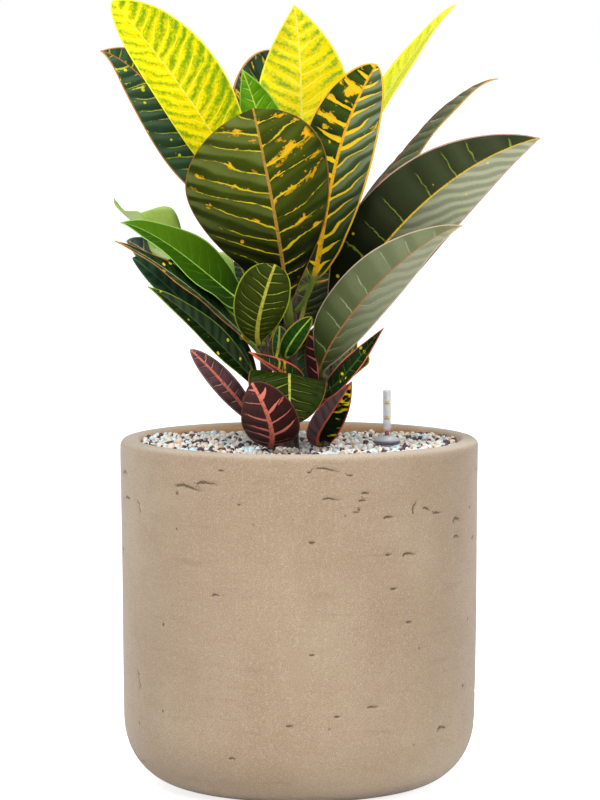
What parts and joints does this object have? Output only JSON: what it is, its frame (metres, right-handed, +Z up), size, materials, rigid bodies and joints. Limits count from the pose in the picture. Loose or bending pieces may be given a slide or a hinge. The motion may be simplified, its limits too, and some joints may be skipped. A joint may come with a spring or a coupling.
{
  "type": "potted croton",
  "caption": "Leafy croton with yellow, green and dark veined leaves, in a round clay-fibre pot filled with mineral granules, with a float water gauge beside the stems.",
  "frame": {"origin": "centre of the pot's flat underside", "axes": "+Z up the pot's axis, -Y towards the viewer, +X to the viewer's right, the side of the water gauge"},
  "size_m": [0.2444, 0.2121, 0.4385],
  "materials": {
    "clay_fibre": "matte",
    "mineral_granules": "matte",
    "stem_bark": "matte",
    "leaf_yellow": "satin",
    "leaf_lime": "satin",
    "leaf_olive": "satin",
    "leaf_dark": "satin",
    "leaf_purple": "satin",
    "gauge_clear": "gloss",
    "gauge_lilac": "gloss",
    "gauge_red": "gloss"
  },
  "bodies": {
    "potted_plant": {"pot": "clay_fibre", "granules": "mineral_granules", "stem_main": "stem_bark", "stem_left": "stem_bark", "stem_right": "stem_bark", "leaf_main_01": "leaf_yellow", "leaf_main_02": "leaf_dark", "leaf_main_03": "leaf_dark", "leaf_main_04": "leaf_yellow", "leaf_main_05": "leaf_lime", "leaf_main_06": "leaf_olive", "leaf_main_07": "leaf_olive", "leaf_main_08": "leaf_yellow", "leaf_main_09": "leaf_dark", "leaf_main_10": "leaf_dark", "leaf_main_11": "leaf_olive", "leaf_main_12": "leaf_dark", "leaf_main_13": "leaf_olive", "leaf_main_14": "leaf_dark", "leaf_main_15": "leaf_dark", "leaf_main_16": "leaf_olive", "leaf_main_17": "leaf_dark", "leaf_left_01": "leaf_lime", "leaf_left_02": "leaf_lime", "leaf_left_03": "leaf_lime", "leaf_left_04": "leaf_dark", "leaf_left_05": "leaf_dark", "leaf_left_06": "leaf_dark", "leaf_left_07": "leaf_dark", "leaf_left_08": "leaf_olive", "leaf_left_09": "leaf_dark", "leaf_left_10": "leaf_purple", "leaf_left_11": "leaf_purple", "leaf_left_12": "leaf_dark", "leaf_left_13": "leaf_dark", "leaf_right_01": "leaf_dark", "leaf_right_02": "leaf_dark", "leaf_right_03": "leaf_dark", "leaf_right_04": "leaf_dark", "leaf_right_05": "leaf_dark", "leaf_right_06": "leaf_dark", "leaf_right_07": "leaf_dark", "leaf_right_08": "leaf_dark", "gauge_housing": "gauge_lilac", "gauge_collar": "gauge_lilac", "gauge_sight_tube": "gauge_clear"},
    "gauge_float": {"gauge_float": "gauge_red"}
  },
  "joints": [
    {"name": "float_rise", "type": "slide", "parent": "potted_plant", "child": "gauge_float", "axis": [0, 0, 1], "range_m": [0, 0.02]}
  ]
}
